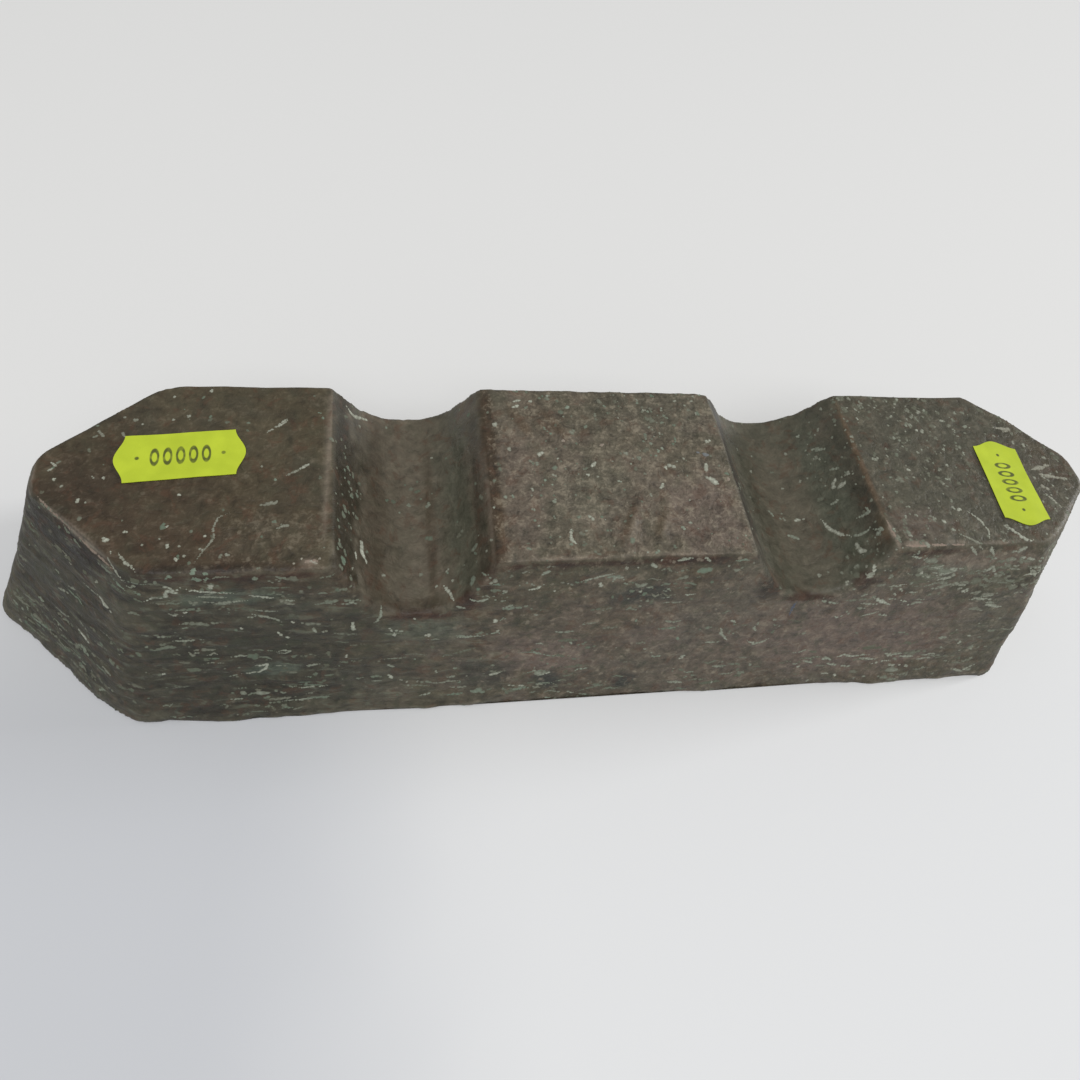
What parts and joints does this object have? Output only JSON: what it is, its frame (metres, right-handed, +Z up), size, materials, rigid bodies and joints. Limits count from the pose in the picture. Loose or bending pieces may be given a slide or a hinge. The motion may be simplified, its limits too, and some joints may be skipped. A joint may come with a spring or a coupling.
{
  "type": "metal ingot",
  "caption": "Notched bar ingot of cast copper with pointed ends, tapered sides and rounded cross notches, brown patina, and paper price labels on its upper face.",
  "frame": {"origin": "middle of the base, on the surface the ingot lies on", "axes": "+X along the length towards the end whose label lies crosswise, +Y across, +Z up from the base to the notched upper face"},
  "size_m": [0.2792, 0.0648, 0.0506],
  "materials": {
    "cast_copper": "satin",
    "label_paper": "satin"
  },
  "bodies": {
    "root": {"ingot": "cast_copper", "label_left_end": "label_paper", "label_right_end": "label_paper"}
  },
  "joints": []
}
